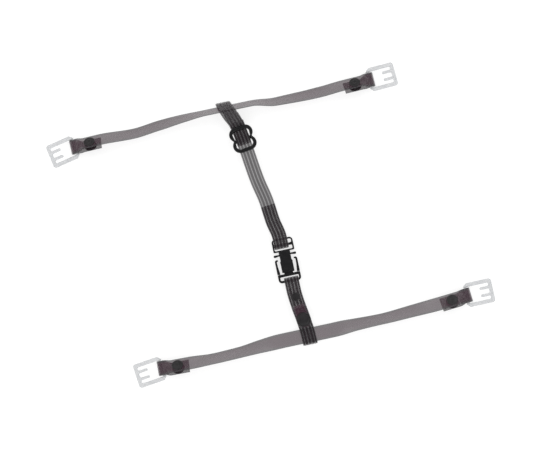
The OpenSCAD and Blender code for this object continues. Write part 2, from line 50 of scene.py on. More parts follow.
# camera, floor and light
view = {
    "target": (1.4, -3.5, 5),     # mm, middle of what is seen
    "elevation": 86,              # degrees above the floor
    "roll": -12,                  # degrees, turns the harness in the frame
    "distance": 1.2,              # m
    "seenWidth": 0.5562,          # m across the frame at the target
}


def makeCamera():
    roll = math.radians(view["roll"])
    rise = math.radians(view["elevation"])
    up = Vector((-math.sin(roll), math.cos(roll), 0))
    back = Vector((0, 0, math.sin(rise))) - up * math.cos(rise)
    target = Vector(view["target"]) * mm
    lens = bpy.data.cameras.new("camera")
    lens.lens = lens.sensor_width * view["distance"] / view["seenWidth"]
    lens.clip_start = 0.01
    camera = bpy.data.objects.new("camera", lens)
    right = up.cross(back).normalized()
    camera.matrix_world = Matrix.Translation(target + back * view["distance"]) @ Matrix(
        (right, back.cross(right), back)).transposed().to_4x4()
    bpy.context.scene.collection.objects.link(camera)
    bpy.context.scene.camera = camera


studio = {
    "floorSize": 8.0,             # m
    "worldGrey": 0.3,
    "floorGrey": 0.4,
    "floorGlow": 0.75,            # the floor is lit from below as well
    "boxes": 4,                   # softboxes round the object
    "boxSize": (1.6, 0.9),        # m
    "boxDistance": 1.7,           # m from the object's middle
    "boxRise": 42,                # degrees above the floor
    "boxPower": 7.0,              # W each
}


def makeStudio():
    world = bpy.data.worlds.new("studio")
    bpy.context.scene.world = world
    world.use_nodes = True
    world.node_tree.nodes["Background"].inputs["Color"].default_value = (studio["worldGrey"],) * 3 + (1,)
    for i in range(studio["boxes"]):
        heading = math.tau * (i + 0.5) / studio["boxes"]
        rise = math.radians(studio["boxRise"])
        flat = math.cos(rise)
        away = Vector((math.cos(heading) * flat, math.sin(heading) * flat, math.sin(rise)))
        light = bpy.data.lights.new("softbox", "AREA")
        light.shape = "RECTANGLE"
        light.size, light.size_y = studio["boxSize"]
        light.energy = studio["boxPower"]
        lamp = bpy.data.objects.new("softbox", light)
        lamp.location = away * studio["boxDistance"]
        lamp.rotation_euler = away.to_track_quat("Z", "Y").to_euler()
        bpy.context.scene.collection.objects.link(lamp)
    half = studio["floorSize"] / 2
    sheet = bpy.data.meshes.new("floor")
    corners = [(-half, -half, 0), (half, -half, 0), (half, half, 0), (-half, half, 0)]
    sheet.from_pydata(corners, [], [(0, 1, 2, 3)])
    floor = bpy.data.objects.new("floor", sheet)
    bpy.context.scene.collection.objects.link(floor)
    paint = bpy.data.materials.new("floorPaint")
    paint.use_nodes = True
    shader = paint.node_tree.nodes["Principled BSDF"]
    shader.inputs["Base Color"].default_value = (studio["floorGrey"],) * 3 + (1,)
    shader.inputs["Roughness"].default_value = 0.9
    shader.inputs["Specular IOR Level"].default_value = 0.1
    shader.inputs["Emission Color"].default_value = (1, 1, 1, 1)
    shader.inputs["Emission Strength"].default_value = studio["floorGlow"]
    sheet.materials.append(paint)


makeCamera()
makeStudio()
bpy.context.scene.view_settings.view_transform = "Standard"
print("camera, floor and light ready")


# node helpers
def link(tree, value, socket):
    if isinstance(value, bpy.types.NodeSocket):
        tree.links.new(value, socket)
    else:
        socket.default_value = value


def calc(tree, operation, *values, clamp=False):
    node = tree.nodes.new("ShaderNodeMath")
    node.operation = operation
    node.use_clamp = clamp
    for socket, value in zip(node.inputs, values):
        link(tree, value, socket)
    return node.outputs[0]


def vectorCalc(tree, operation, a, b=None, scale=None):
    node = tree.nodes.new("ShaderNodeVectorMath")
    node.operation = operation
    link(tree, a, node.inputs[0])
    if b is not None:
        link(tree, b, node.inputs[1])
    if scale is not None:
        link(tree, scale, node.inputs["Scale"])
    return node.outputs[0]


# materials
def newFinish(name):
    finish = bpy.data.materials.new(name)
    finish.use_nodes = True
    return finish, finish.node_tree, finish.node_tree.nodes["Principled BSDF"]


def grain(tree, coordinates, scale, detail=3.0, stretch=(1, 1, 1)):
    mapping = tree.nodes.new("ShaderNodeMapping")
    mapping.inputs["Scale"].default_value = stretch
    tree.links.new(coordinates, mapping.inputs["Vector"])
    noise = tree.nodes.new("ShaderNodeTexNoise")
    noise.inputs["Scale"].default_value = scale
    noise.inputs["Detail"].default_value = detail
    tree.links.new(mapping.outputs["Vector"], noise.inputs["Vector"])
    return noise.outputs["Fac"]


def spread(tree, value, low, high, fromLow=0.3, fromHigh=0.7):
    node = tree.nodes.new("ShaderNodeMapRange")
    node.inputs["From Min"].default_value = fromLow
    node.inputs["From Max"].default_value = fromHigh
    node.inputs["To Min"].default_value = low
    node.inputs["To Max"].default_value = high
    tree.links.new(value, node.inputs["Value"])
    return node.outputs["Result"]


def blendColours(tree, share, dark, light):
    node = tree.nodes.new("ShaderNodeMix")
    node.data_type = "RGBA"
    link(tree, share, node.inputs["Factor"])
    link(tree, dark, node.inputs[6])
    link(tree, light, node.inputs[7])
    return node.outputs[2]


def bump(tree, shader, height, strength, distance):
    node = tree.nodes.new("ShaderNodeBump")
    node.inputs["Strength"].default_value = strength
    node.inputs["Distance"].default_value = distance
    tree.links.new(height, node.inputs["Height"])
    tree.links.new(node.outputs["Normal"], shader.inputs["Normal"])


def closeTree(tree, shape, finish, output):
    # every tree ends in real geometry with its material
    add = tree.nodes.new
    join = tree.links.new
    whole = add("GeometryNodeRealizeInstances")
    join(shape, whole.inputs["Geometry"])
    dress = add("GeometryNodeSetMaterial")
    join(whole.outputs[0], dress.inputs["Geometry"])
    join(finish, dress.inputs["Material"])
    result = add("NodeGroupOutput")
    join(dress.outputs[0], result.inputs[output])
    return tree


def applyTree(piece, tree, values):
    # the inputs are set by their sockets' identifiers before the tree first runs
    nodes = piece.modifiers.new(tree.name, "NODES")
    nodes.node_group = tree
    inputs = {item.name: item.identifier for item in tree.interface.items_tree if item.in_out == "INPUT"}
    for key, value in values.items():
        nodes[inputs[key]] = value


def attribute(tree, name):
    node = tree.nodes.new("ShaderNodeAttribute")
    node.attribute_name = name
    return node


strapLook = {
    "valley": (0.020, 0.011, 0.016, 1),     # between the ribs
    # painted highlight: ribs lighter than the valleys, as if the softboxes glint on them
    "rib": (0.110, 0.108, 0.112, 1),
    "middle": (0.075, 0.032, 0.052, 1),     # smooth straps, rose cast along the middle
    # painted highlight: the smooth straps' edges lighter and greyer than the rose middle
    "edge": (0.085, 0.080, 0.086, 1),
    "solid": (0.64, 0.45),                  # share of light each face stops, at valley and rib
    "streaks": 900,                         # draw lines of the moulding, per metre
    "ribStep": 0.0017,                      # m, half the distance between two ribs
}


def strapFinish(name, ribbed):
    finish, tree, shader = newFinish(name)
    join = tree.links.new
    across = attribute(tree, "across").outputs["Fac"]
    run = attribute(tree, "run").outputs["Fac"]
    place = tree.nodes.new("ShaderNodeCombineXYZ")
    join(across, place.inputs["X"])
    join(run, place.inputs["Y"])
    lines = grain(tree, place.outputs["Vector"], strapLook["streaks"], 4, (1, 0.02, 1))
    cloud = grain(tree, place.outputs["Vector"], 55, 3, (1, 0.6, 1))
    inward = calc(tree, "ABSOLUTE", across)
    if ribbed:
        # painted highlight along the ribs and the strap's outer edges, which also let more floor through
        # there so they read lighter
        ribHighlightShare = spread(tree, calc(tree, "PINGPONG", inward, strapLook["ribStep"]), 0, 1, 0.0009, 0.0015)
        edgeHighlightShare = spread(tree, inward, 0, 1, 0.0066, 0.0072)
        share = calc(tree, "MAXIMUM", ribHighlightShare, edgeHighlightShare)
        colour = blendColours(tree, share, strapLook["valley"], strapLook["rib"])
        solid = strapLook["solid"]
    else:
        # painted highlight along the smooth straps' edges, the rose middle is their own tint
        share = spread(tree, inward, 0, 1, 0.0045, 0.0068)
        colour = blendColours(tree, share, strapLook["middle"], strapLook["edge"])
        solid = (0.56, 0.60)
    clouded = blendColours(tree, spread(tree, cloud, 0, 0.3), colour, (0.030, 0.022, 0.027, 1))
    join(clouded, shader.inputs["Base Color"])
    join(spread(tree, lines, 0.28, 0.46), shader.inputs["Roughness"])
    join(spread(tree, share, *solid, 0, 1), shader.inputs["Alpha"])
    shader.inputs["IOR"].default_value = 1.45
    shader.inputs["Coat Weight"].default_value = 0.15
    shader.inputs["Coat Roughness"].default_value = 0.25
    bump(tree, shader, lines, 0.2, 0.0001)
    return finish


plateLook = {
    "clear": (0.74, 0.75, 0.77, 1),
    "milky": (0.84, 0.85, 0.86, 1),
    "solid": 0.66,
}


def plateFinish():
    finish, tree, shader = newFinish("milkyPlate")
    place = tree.nodes.new("ShaderNodeTexCoord").outputs["Object"]
    cloud = grain(tree, place, 160, 4)
    fine = grain(tree, place, 2600, 2)
    tree.links.new(blendColours(tree, spread(tree, cloud, 0, 1), plateLook["clear"], plateLook["milky"]),
                   shader.inputs["Base Color"])
    tree.links.new(spread(tree, cloud, 0.24, 0.42), shader.inputs["Roughness"])
    shader.inputs["Alpha"].default_value = plateLook["solid"]
    shader.inputs["IOR"].default_value = 1.5
    bump(tree, shader, fine, 0.04, 0.0001)
    return finish


def blackFinish(name, base, worn, roughLow, roughHigh, grainScale, depth):
    finish, tree, shader = newFinish(name)
    place = tree.nodes.new("ShaderNodeTexCoord").outputs["Object"]
    cloud = grain(tree, place, 220, 4)
    fine = grain(tree, place, grainScale, 3)
    tree.links.new(blendColours(tree, spread(tree, cloud, 0, 1), base, worn), shader.inputs["Base Color"])
    tree.links.new(spread(tree, cloud, roughLow, roughHigh), shader.inputs["Roughness"])
    shader.inputs["IOR"].default_value = 1.46
    bump(tree, shader, fine, depth, 0.0001)
    return finish


ribbedSkin = strapFinish("smokedRibbed", True)
smoothSkin = strapFinish("smokedSmooth", False)
plateSkin = plateFinish()
glossBlack = blackFinish("glossBlack", (0.005, 0.005, 0.006, 1), (0.010, 0.010, 0.011, 1),
                         0.20, 0.32, 1500, 0.05)
satinBlack = blackFinish("satinBlack", (0.011, 0.010, 0.011, 1), (0.020, 0.018, 0.020, 1),
                         0.34, 0.50, 3000, 0.22)
mattBlack = blackFinish("mattBlack", (0.010, 0.010, 0.010, 1), (0.022, 0.022, 0.023, 1),
                        0.50, 0.68, 4500, 0.35)
print("finishes ready")


# strap sweep
weldGap = 0.000002     # m


def strapTree():
    tree = bpy.data.node_groups.new("strapSweep", "GeometryNodeTree")
    add = tree.nodes.new
    join = tree.links.new
    sockets = tree.interface
    sockets.new_socket("Stations", in_out="INPUT", socket_type="NodeSocketGeometry")
    for name, value in (("Width", 0.015), ("Thickness", 0.0014), ("Rib Height", 0.0), ("Rib Width", 0.0011),
                        ("Rib Spacing", 0.0035), ("Ribs", 4.0)):
        sockets.new_socket(name, in_out="INPUT", socket_type="NodeSocketFloat").default_value = value
    sockets.new_socket("Columns", in_out="INPUT", socket_type="NodeSocketInt").default_value = 161
    sockets.new_socket("Finish", in_out="INPUT", socket_type="NodeSocketMaterial")
    sockets.new_socket("Strap", in_out="OUTPUT", socket_type="NodeSocketGeometry")
    given = add("NodeGroupInput").outputs

    count = add("GeometryNodeAttributeDomainSize")
    join(given["Stations"], count.inputs["Geometry"])
    rows = count.outputs["Point Count"]
    grid = add("GeometryNodeMeshGrid")
    join(given["Columns"], grid.inputs["Vertices X"])
    join(rows, grid.inputs["Vertices Y"])
    index = add("GeometryNodeInputIndex").outputs[0]

    def plus(a, b):
        return calc(tree, "ADD", a, b)

    def less(a, b):
        return calc(tree, "SUBTRACT", a, b)

    def times(a, b):
        return calc(tree, "MULTIPLY", a, b)

    def over(a, b):
        return calc(tree, "DIVIDE", a, b)

    column = calc(tree, "FLOOR", over(plus(index, 0.5), rows))
    row = less(index, times(column, rows))

    # once round the section: +1 at one edge, -1 at the other, closer together near the edges
    turn = over(times(column, 2.0), less(given["Columns"], 1.0))
    even = less(calc(tree, "ABSOLUTE", less(times(turn, 2.0), 2.0)), 1.0)
    eased = times(even, less(1.5, times(0.5, times(even, even))))
    side = calc(tree, "SIGN", less(1.0, turn))
    halfWidth = times(given["Width"], 0.5)
    across = times(eased, halfWidth)
    reach = calc(tree, "ABSOLUTE", across)
    bodyHalf = times(less(given["Thickness"], given["Rib Height"]), 0.5)
    inset = calc(tree, "MINIMUM", less(halfWidth, reach), bodyHalf)
    fall = less(bodyHalf, inset)
    square = less(times(bodyHalf, bodyHalf), times(fall, fall))
    skin = calc(tree, "SQRT", calc(tree, "MAXIMUM", square, 0.0))

    # ribs stand on one side only, evenly either side of the middle
    nearest = calc(tree, "MINIMUM", calc(tree, "FLOOR", over(reach, given["Rib Spacing"])),
                   less(times(given["Ribs"], 0.5), 1.0))
    ribMiddle = times(plus(nearest, 0.5), given["Rib Spacing"])
    off = over(calc(tree, "ABSOLUTE", less(reach, ribMiddle)), times(given["Rib Width"], 0.5))
    dome = calc(tree, "SUBTRACT", 1.0, times(off, off), clamp=True)
    rib = times(times(calc(tree, "SQRT", dome), given["Rib Height"]), calc(tree, "MAXIMUM", side, 0.0))
    height = plus(less(times(side, skin), times(given["Rib Height"], 0.5)), rib)

    def sampled(kind, field):
        node = add("GeometryNodeSampleIndex")
        node.data_type = kind
        join(given["Stations"], node.inputs["Geometry"])
        join(field, node.inputs["Value"])
        join(row, node.inputs["Index"])
        return node.outputs[0]

    def named(kind, name):
        node = add("GeometryNodeInputNamedAttribute")
        node.data_type = kind
        node.inputs["Name"].default_value = name
        return node.outputs[0]

    place = sampled("FLOAT_VECTOR", add("GeometryNodeInputPosition").outputs[0])
    sideways = sampled("FLOAT_VECTOR", named("FLOAT_VECTOR", "sideways"))
    facing = sampled("FLOAT_VECTOR", named("FLOAT_VECTOR", "facing"))
    spreadOut = sampled("FLOAT", named("FLOAT", "open"))
    run = sampled("FLOAT", named("FLOAT", "run"))
    offset = vectorCalc(tree, "ADD", vectorCalc(tree, "SCALE", sideways, scale=across),
                        vectorCalc(tree, "SCALE", facing, scale=height))
    move = add("GeometryNodeSetPosition")
    join(grid.outputs["Mesh"], move.inputs["Geometry"])
    join(vectorCalc(tree, "ADD", place, vectorCalc(tree, "SCALE", offset, scale=spreadOut)),
                   move.inputs["Position"])

    last = move.outputs[0]
    for name, field in (("across", across), ("run", run)):
        keep = add("GeometryNodeStoreNamedAttribute")
        keep.inputs["Name"].default_value = name
        join(last, keep.inputs["Geometry"])
        join(field, keep.inputs["Value"])
        last = keep.outputs[0]
    merge = add("GeometryNodeMergeByDistance")
    merge.inputs["Distance"].default_value = weldGap
    join(last, merge.inputs["Geometry"])
    return closeTree(tree, merge.outputs[0], given["Finish"], "Strap")


sweepTree = strapTree()


def finishMesh(piece, sharpAngle=38):
    shape = bmesh.new()
    shape.from_mesh(piece.data)
    bmesh.ops.recalc_face_normals(shape, faces=shape.faces)
    shape.to_mesh(piece.data)
    shape.free()
    piece.data.shade_smooth()
    piece.data.set_sharp_from_angle(angle=math.radians(sharpAngle))
    return piece


def settle(piece):
    # the evaluated shape becomes a plain mesh and the modifiers go
    graph = bpy.context.evaluated_depsgraph_get()
    graph.update()
    mesh = bpy.data.meshes.new_from_object(piece.evaluated_get(graph), depsgraph=graph)
    piece.modifiers.clear()
    piece.data = mesh
    mesh.name = piece.name
    return piece


def sweepStrap(name, stations, finish, ribHeight=0.0, columns=161, widths=None):
    stations = [(np.array(p, float), np.array(a, float), np.array(f, float)) for p, a, f in stations]
    points = [stations[0]] + stations + [stations[-1]]
    helper = bpy.data.meshes.new(name)
    helper.from_pydata([tuple(p * mm) for p, a, f in points], [], [])
    run = [0.0]
    for before, after in zip(points, points[1:]):
        run.append(run[-1] + float(np.linalg.norm(after[0] - before[0])) * mm)
    for kind, key, values in (
            ("FLOAT_VECTOR", "sideways", [a / np.linalg.norm(a) for p, a, f in points]),
            ("FLOAT_VECTOR", "facing", [f / np.linalg.norm(f) for p, a, f in points]),
            ("FLOAT", "open", [0.0] + (widths or [1.0] * len(stations)) + [0.0]),
            ("FLOAT", "run", run)):
        layer = helper.attributes.new(key, kind, "POINT")
        field = "vector" if kind == "FLOAT_VECTOR" else "value"
        layer.data.foreach_set(field, np.array(values, np.float32).ravel())
    piece = bpy.data.objects.new(name, helper)
    bpy.context.scene.collection.objects.link(piece)
    applyTree(piece, sweepTree, {
        "Width": strap["width"] * mm, "Thickness": strap["thick"] * mm, "Rib Height": ribHeight * mm,
        "Rib Width": strap["ribWidth"] * mm, "Rib Spacing": strap["ribSpacing"] * mm,
        "Ribs": float(strap["ribs"]), "Columns": columns, "Finish": finish})
    return finishMesh(settle(piece))


# routes of the straps
strap = {
    "width": 15, "thick": 1.4,              # mm
    "ribHeight": 0.32, "ribWidth": 1.2, "ribSpacing": 3.4, "ribs": 4,
    "step": 1.6,                            # mm between stations
    "loopGap": 0.35,                        # cross strap to the loop round it
    "barGap": 0.15,                         # strap to a hook plate's bar
    "loopSlack": 0.85,                      # the upper loop is this much wider past the low edge
    "rearShift": -1.1,                      # the upper loop's rear layer lies to the left
}
plate = {
    "reach": 28, "width": 25, "thick": 2.5, "bar": 3, "farEnd": 3.7, "play": 1.8,
    "prong": (9.8, 2.9), "slot": 4.5, "heel": 2.2, "chamfer": 3.5, "corner": 2.5,
}
snap = {
    "reach": 18, "tail": 29.5, "capHeight": 1.2, "endCap": 13, "tabCap": 14.6, "back": 11.5,
    "socket": 10.4, "keeper": 8.6, "keeperCap": 0.5, "post": 3.6, "seat": 0.02,
}
halfThick = strap["thick"] / 2
foldRadius = plate["bar"] / 2 + strap["barGap"] + halfThick
layerGap = 2 * foldRadius - strap["thick"]
loopRadius = strap["thick"] + strap["loopGap"]
endLift = 2 * foldRadius + snap["capHeight"]
hingeReach = 3

# strap ends: fold x and y, heading of strap, heading of plate, twist, inboard direction, names
ends = {
    "upper_left": (-181, 118, 1.5, 11, 34, 1),
    "upper_right": (135.6, 122.8, 2, 4, 34, -1),
    "lower_left": (-138.4, -123.8, -1.5, 7, 34, 1),
    "lower_right": (185.4, -116.2, 4.5, 0, 26, -1),
}


def wave(degrees):
    return math.cos(math.radians(degrees)), math.sin(math.radians(degrees))


def endKnots(end):
    x, y, heading, plateHeading, twist, inboard = ends[end]
    c, s = wave(heading)
    flat = (snap["reach"] - snap["endCap"] / 2, snap["reach"] + snap["endCap"] / 2 + 0.5)
    return [(x + inboard * d * c, y + inboard * d * s, twist if d > hingeReach else 0, endLift)
            for d in (0, hingeReach, *flat, snap["tail"] + 0.5)]


def loopLift(twist):
    return loopRadius + halfThick * (1 - wave(twist)[0])


upperTwist = 58
crossings = {"upper": (-15.5, 123.6), "lower": (15.5, -122.4)}     # where the centre straps loop round
evenReach = 24                # mm of even twist either side of a crossing


def crossingKnots(which, twist):
    x, y = crossings[which]
    return [(x + d, y, twist, loopLift(twist)) for d in (-evenReach, evenReach)]


routes = {
    "upper": endKnots("upper_left") + [
        (-118, 118.4, 38, 0), (-90, 121.2, 38, 0), (-64, 123, 48, 0.8), *crossingKnots("upper", upperTwist),
        (34, 120.6, 46, 0), (62, 120.5, 38, 0), (82, 121, 34, 0.3)] + endKnots("upper_right")[::-1],
    "lower": endKnots("lower_left") + [
        (-84, -125.6, 46, 0.3), (-56, -124.9, 44, 0), (-34, -123.4, 28, 0),
        *crossingKnots("lower", 0), (66, -121.8, 34, 0), (92, -121.8, 44, 0),
        (124, -120.4, 36, 0.3)] + endKnots("lower_right")[::-1],
}


def chord(table, i, c):
    return (table[i + 1][c] - table[i][c]) / (table[i + 1][0] - table[i][0])


def knotSlope(table, i, c):
    if i == 0:
        return chord(table, 0, c)
    if i == len(table) - 1:
        return chord(table, i - 1, c)
    a, b = chord(table, i - 1, c), chord(table, i, c)
    return 0 if a * b <= 0 else 2 * a * b / (a + b)


def along(table, s, c=1):
    # smooth value of column c at place s, in a table whose first column rises
    i = 0
    while i < len(table) - 2 and s >= table[i + 1][0]:
        i += 1
    gap = table[i + 1][0] - table[i][0]
    f = (s - table[i][0]) / gap
    k = 1 - f
    return (table[i][c] * (1 + 2 * f) * k * k + table[i + 1][c] * (3 - 2 * f) * f * f
            + gap * f * k * (knotSlope(table, i, c) * k - knotSlope(table, i + 1, c) * f))


def slope(table, s, c=1):
    return (along(table, s + 0.01, c) - along(table, s - 0.01, c)) / 0.02


def crossStation(route, x):
    heading = math.atan(slope(route, x))
    c, s = wave(along(route, x, 2))
    side = np.array((-math.sin(heading), math.cos(heading), 0))
    up = np.array((0, 0, 1))
    middle = np.array((x, along(route, x), strap["width"] / 2 * s + halfThick * c + along(route, x, 3)))
    return middle, side * c - up * s, up * c + side * s


def under(station, drop):
    middle, across, facing = station
    return middle - drop * facing, across, -facing


def halfTurn(centre, radius, out, up, across, steps, start=-90, finish=90):
    # stations round a centre, from the lower layer to the upper one
    centre, out, up = (np.array(v, float) for v in (centre, out, up))
    found = []
    for i in range(steps + 1):
        c, s = wave(start + (finish - start) * i / steps)
        found.append((centre + radius * (out * c + up * s), np.array(across, float), out * c + up * s))
    return found


def endStation(end, d):
    x, y, heading, plateHeading, twist, inboard = ends[end]
    return crossStation(routes[end.split("_")[0]], x + inboard * d * wave(heading)[0])


def endDirection(end):
    c, s = wave(ends[end][2])
    return ends[end][5] * np.array((c, s, 0))


def endFold(end):
    middle, across, facing = endStation(end, 0)
    return halfTurn(middle - foldRadius * facing, foldRadius, -endDirection(end), facing, across, 14)


def tailSnapStation(end):
    return under(endStation(end, snap["reach"]), 2 * foldRadius)


def spaced(first, last, step):
    return np.linspace(first, last, max(2, int(abs(last - first) / step) + 1))


def flip(stations):
    # the ribbed side looks the other way
    return [(p, -a, -f) for p, a, f in stations]


def crossStrap(which):
    route, left, right = routes[which], which + "_left", which + "_right"
    middle = [crossStation(route, x) for x in spaced(ends[left][0], ends[right][0], strap["step"])]
    stations = endFold(left)[:-1] + middle + endFold(right)[::-1][1:]
    piece = sweepStrap(which + "CrossStrap", flip(stations), smoothSkin, strap["ribHeight"])
    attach(piece, which + "_cross")
    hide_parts(which + "_cross_strap")


def endTab(end):
    stations = [under(endStation(end, d), 2 * foldRadius) for d in spaced(0.02, snap["tail"], 1.2)]
    if ends[end][5] < 0:
        stations = stations[::-1]
    piece = sweepStrap(end + "Tab", flip(stations), smoothSkin, strap["ribHeight"])
    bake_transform(piece)
    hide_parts(end + "_tab")


for which in routes:
    crossStrap(which)
for end in ends:
    endTab(end)
print("cross straps ready")

# straps of the centre length
buckle = {
    "at": (10, -42), "barHeight": 3.2, "barWidth": 2.5, "barGap": 0.2,
    "sleeveHeight": 6.5, "sleeveWidth": 12.8,
    "midBar": 15.7, "plugBar": -21.7, "strapShift": -1.6, "plugShift": 1.3, "width": 23.5, "frameWidth": 22,
}
slider = {
    "y": 89.2, "lean": 8.2, "barHeight": 2, "barWidth": 3.8, "width": 25, "length": 27.3,
    "ring": 3.8, "peg": 3,
    "barOverStrap": 2.2,
}
buckleHigh = buckle["sleeveHeight"] / 2
buckleFold = buckle["barHeight"] / 2 + buckle["barGap"] + halfThick
foldShift = buckle["barWidth"] / 2 - 0.5
endLayer = strap["thick"] + strap["loopGap"] + halfThick
sliderFold = slider["barHeight"] / 2 + strap["barGap"] + halfThick
sliderBar = endLayer + sliderFold
frontHigh = sliderBar + sliderFold + strap["thick"] + 0.25
strapShift = buckle["at"][0] + buckle["strapShift"]
centreSide = [(-30, strapShift), (-18, strapShift), (0, 5.1), (22, 2.8), (44, -1.7),
              (slider["y"] + 18, -10.6), (118, -15.2), (134, -20.8)]
centreFront = [(-30, buckleHigh + buckleFold), (-14, buckleHigh + buckleFold), (20, 4.6), (34, 5),
               (58, frontHigh), (slider["y"] + 16.4, frontHigh)]
left = np.array((-1.0, 0, 0))


def acrossAt(table, y):
    side = np.array((-1, slope(table, y), 0))
    return side / np.linalg.norm(side)


def lengthwise(table, y, z, up, shift=0.0):
    return np.array((along(table, y) + shift, y, z)), acrossAt(table, y), np.array((0, 0, up), float)


def smoothed(stations, first, last, passes):
    # eases the bends between two places in a list of stations, the ends stay
    points = [p.copy() for p, a, f in stations]
    for _ in range(passes):
        old = [p.copy() for p in points]
        for i in range(max(1, first), min(len(points) - 1, last)):
            points[i] = old[i] / 2 + (old[i - 1] + old[i + 1]) / 4
    eased = []
    for i, (p, a, f) in enumerate(stations):
        if first <= i < last and 0 < i < len(points) - 1:
            ahead = points[i + 1] - points[i - 1]
            ahead /= np.linalg.norm(ahead)
            a = a - ahead * np.dot(a, ahead)
            a /= np.linalg.norm(a)
            turned = np.cross(ahead, a)
            f = turned * np.sign(np.dot(turned, f))
        eased.append((points[i], a, f))
    return eased


def centreStrap():
    upper = crossStation(routes["upper"], crossings["upper"][0])
    highEdge = upper[0] - upper[1] * strap["width"] / 2
    riseFrom = (slider["y"] + 16.4, frontHigh)
    rise = (highEdge[1] - riseFrom[0], highEdge[2] - riseFrom[1])
    riseAngle = math.degrees(math.atan2(rise[1], rise[0]) + math.asin(loopRadius / math.hypot(*rise)))
    barY = buckle["midBar"] - foldShift + buckle["at"][1]
    bar = (along(centreSide, barY), barY, buckleHigh)

    def loopPoint(edge, angle, radius=loopRadius):
        c, s = wave(angle)
        y, z = edge[1] + radius * c, edge[2] + radius * s
        shift = strap["rearShift"] * max(0, min(1, (90 - angle) / 180))
        return np.array((along(centreSide, y) + shift, y, z)), left, np.array((0, c, s))

    step = strap["step"]
    stations = [lengthwise(centreSide, y, buckleHigh - buckleFold, -1) for y in spaced(17, bar[1], step)[:-1]]
    stations += halfTurn(bar, buckleFold, (0, -1, 0), (0, 0, 1), left, 14)
    first = len(stations)
    for y in spaced(bar[1], riseFrom[0], step)[1:]:
        stations.append(lengthwise(centreSide, y, along(centreFront, y), 1))
    climb = loopPoint(highEdge, 90 + riseAngle)
    start = stations[-1][0]
    for f in np.linspace(0, 1, 7)[1:-1]:
        middle = start + (climb[0] - start) * f
        stations.append((middle, left, climb[2]))
    last = len(stations) - 1
    slackRadius = loopRadius + strap["loopSlack"]
    finish = 90 - upperTwist + 9
    c, s = wave(finish)
    slackHigh = halfThick + slackRadius
    slackY = highEdge[1] + (loopRadius - slackRadius - (slackHigh - highEdge[2]) * s) / c
    slackEdge = np.array((0, slackY, slackHigh))
    stations += [loopPoint(highEdge, a) for a in np.linspace(90 + riseAngle, finish, 12)]
    a, b = stations[-1], loopPoint(slackEdge, finish, slackRadius)
    stations += [(a[0] + (b[0] - a[0]) * f, left, a[2]) for f in (0.2, 0.4, 0.6, 0.8)]
    stations += [loopPoint(slackEdge, angle, slackRadius) for angle in np.linspace(finish, -90, 14)]
    travel = slider["y"] - 5
    for y in spaced(slackEdge[1], travel, step)[1:]:
        shift = strap["rearShift"] * (y - travel) / (slackEdge[1] - travel)
        stations.append(lengthwise(centreSide, y, halfThick, -1, shift))
    piece = sweepStrap("centreStrap", smoothed(stations, first, last, 3), ribbedSkin,
                       strap["ribHeight"])
    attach(piece, "centre")
    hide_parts("centre_strap")


sliderPlace = (Matrix.Translation((along(centreSide, slider["y"]), slider["y"], sliderBar))
               @ Matrix.Rotation(math.radians(slider["lean"]), 4, "Z"))


def placed(stations, matrix):
    turnOnly = matrix.to_3x3()
    return [(np.array(matrix @ Vector(p)), np.array(turnOnly @ Vector(a)), np.array(turnOnly @ Vector(f)))
            for p, a, f in stations]


def sliderStrapEnd():
    foldY = 0.4 - slider["barWidth"] / 2
    down, up = np.array((0, 0, -1.0)), np.array((0, 0, 1.0))
    stations = [(np.array((0, y, -sliderFold)), left, down) for y in spaced(20, foldY, strap["step"])[:-1]]
    stations += halfTurn((0, foldY, 0), sliderFold, (0, -1, 0), (0, 0, 1), left, 12)
    stations += [(np.array((0, y, sliderFold)), left, up) for y in spaced(foldY, 4.2, 1.2)[1:]]
    piece = sweepStrap("sliderStrapEnd", placed(stations, sliderPlace), ribbedSkin, strap["ribHeight"])
    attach(piece, "slider")
    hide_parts("slider_strap_end")


centreStrap()
sliderStrapEnd()

tab = {"hinge": -90, "snap": -105.5, "end": -114, "lean": 8.4}
keeper = {"y": -81, "front": 7.4, "rear": 1.8}
loopFront = 2 * loopRadius + halfThick
tabHigh = loopFront + layerGap + strap["thick"]
lowerSide = [(-136, 16.9), (-118, 16.2), (-104, 14.7), (-90, 12.6), (-74, 11.3),
             (-62, buckle["at"][0] + buckle["plugShift"])]
lowerFront = [(-136, tabHigh), (tab["hinge"] - 1, tabHigh), (tab["hinge"] + 2, tabHigh),
              (keeper["y"] - 5.5, keeper["front"]), (keeper["y"] + 5.5, keeper["front"]),
              (-66, buckleHigh + buckleFold), (-60, buckleHigh + buckleFold)]
lowerRear = [(-136, halfThick), (-98, halfThick), (keeper["y"] - 6, keeper["rear"]),
             (keeper["y"] + 6, keeper["rear"]),
             (-66, buckleHigh - buckleFold), (-60, buckleHigh - buckleFold)]


def lowerStrap():
    barY = buckle["plugBar"] + foldShift + buckle["at"][1]
    bar = (along(lowerSide, barY), barY, buckleHigh)
    edgeY = crossings["lower"][1] - strap["width"] / 2
    edge = (along(lowerSide, edgeY), edgeY, loopRadius + halfThick)
    step = strap["step"]
    stations = [lengthwise(lowerSide, y, along(lowerFront, y), 1)
                for y in spaced(tab["hinge"] + 0.15, bar[1], step)[:-1]]
    stations += halfTurn(bar, buckleFold, (0, 1, 0), (0, 0, 1), left, 14)[::-1]
    stations += [lengthwise(lowerSide, y, along(lowerRear, y), -1) for y in spaced(bar[1], edgeY, step)[1:-1]]
    stations += halfTurn(edge, loopRadius, (0, -1, 0), (0, 0, 1), left, 14)
    stations += [lengthwise(lowerSide, y, loopFront, 1) for y in spaced(edgeY, -93, step)[1:]]
    piece = sweepStrap("lowerStrap", stations, ribbedSkin, strap["ribHeight"])
    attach(piece, "plug")
    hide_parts("lower_strap")


lowerStrap()
print("centre straps ready")

